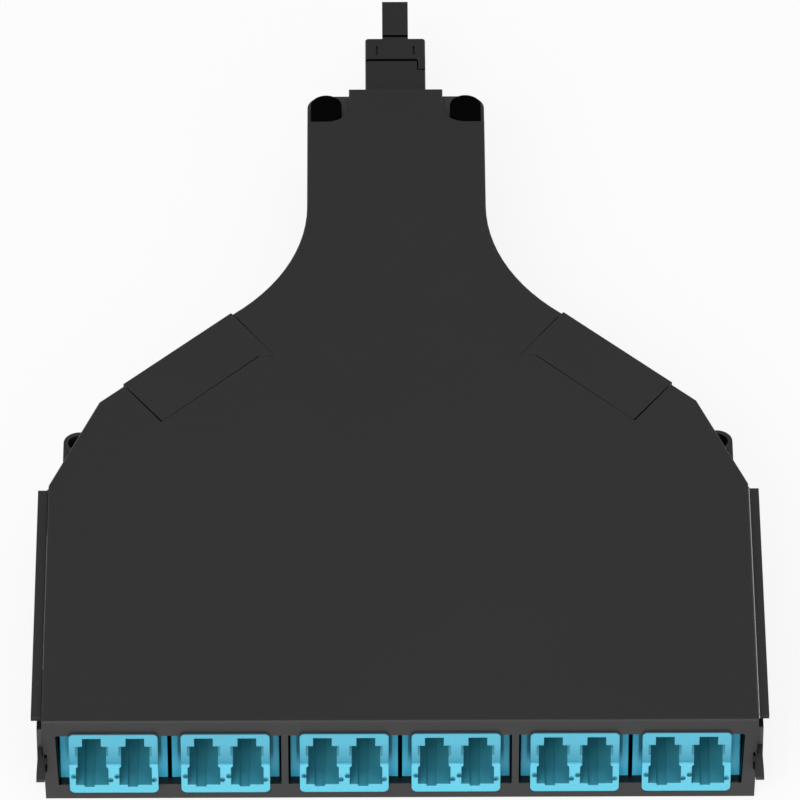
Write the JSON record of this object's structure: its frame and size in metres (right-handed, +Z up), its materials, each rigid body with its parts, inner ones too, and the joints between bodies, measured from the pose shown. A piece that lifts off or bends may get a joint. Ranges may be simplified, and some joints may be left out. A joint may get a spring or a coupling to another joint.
{
  "type": "fibre patch cassette",
  "caption": "Slide-in fibre patching module: duplex adapters across the front, a capped multi-fibre adapter on the narrow neck, squeeze latches along both sides.",
  "frame": {"origin": "centre of the footprint on the underside, halfway between the finger tabs' tips and the cap tab's end", "axes": "+Z up out of the cover, +Y from the ports to the multi-fibre adapter, +X to the right as the ports are faced"},
  "size_m": [0.1062, 0.1724, 0.0153],
  "materials": {
    "housing_black": "fine matt moulding",
    "housing_face": "fine matt moulding",
    "adapter_aqua": "smooth moulding",
    "plug_blue": "smooth moulding",
    "plug_beige": "smooth moulding",
    "ferrule_black": "polished end",
    "ceramic": "polished ceramic",
    "fibre_coat": "soft jacket",
    "pin_steel": "ground",
    "rivet_black": "dark moulding"
  },
  "bodies": {
    "housing": {"base_shell": "housing_face", "top_cover": "housing_black", "alignment_sleeves": "ceramic", "lc_ferrules": "ceramic", "inner_lc_plugs": "plug_blue", "fibre_fanout": "fibre_coat", "fanout_block": "housing_black", "ribbon_fibre": "fibre_coat", "mpo_adapter": "housing_black", "inner_mpo_plug": "plug_beige", "mpo_ferrule": "ferrule_black", "mpo_guide_pins": "pin_steel", "left_shoulder_clip": "housing_black", "right_shoulder_clip": "housing_black", "corner_rivets": "rivet_black", "lc_adapter_1": "adapter_aqua", "lc_adapter_2": "adapter_aqua", "lc_adapter_3": "adapter_aqua", "lc_adapter_4": "adapter_aqua", "lc_adapter_5": "adapter_aqua", "lc_adapter_6": "adapter_aqua"},
    "left_latch": {"left_latch": "housing_black"},
    "right_latch": {"right_latch": "housing_black"},
    "dust_cap": {"mpo_dust_cap": "housing_black"}
  },
  "joints": [
    {"name": "left_latch_squeeze", "type": "hinge", "parent": "housing", "child": "left_latch", "pos_m": [-0.0473, -0.01787, 0.008], "axis": [0, 0, 1], "range_deg": [0, 0.5], "stiffness_Nm_per_rad": 5},
    {"name": "right_latch_squeeze", "type": "hinge", "parent": "housing", "child": "right_latch", "pos_m": [0.0473, -0.01787, 0.008], "axis": [0, 0, -1], "range_deg": [0, 0.5], "stiffness_Nm_per_rad": 5},
    {"name": "dust_cap_pull", "type": "slide", "parent": "housing", "child": "dust_cap", "axis": [0, 1, 0], "range_m": [0, 0.012]}
  ]
}
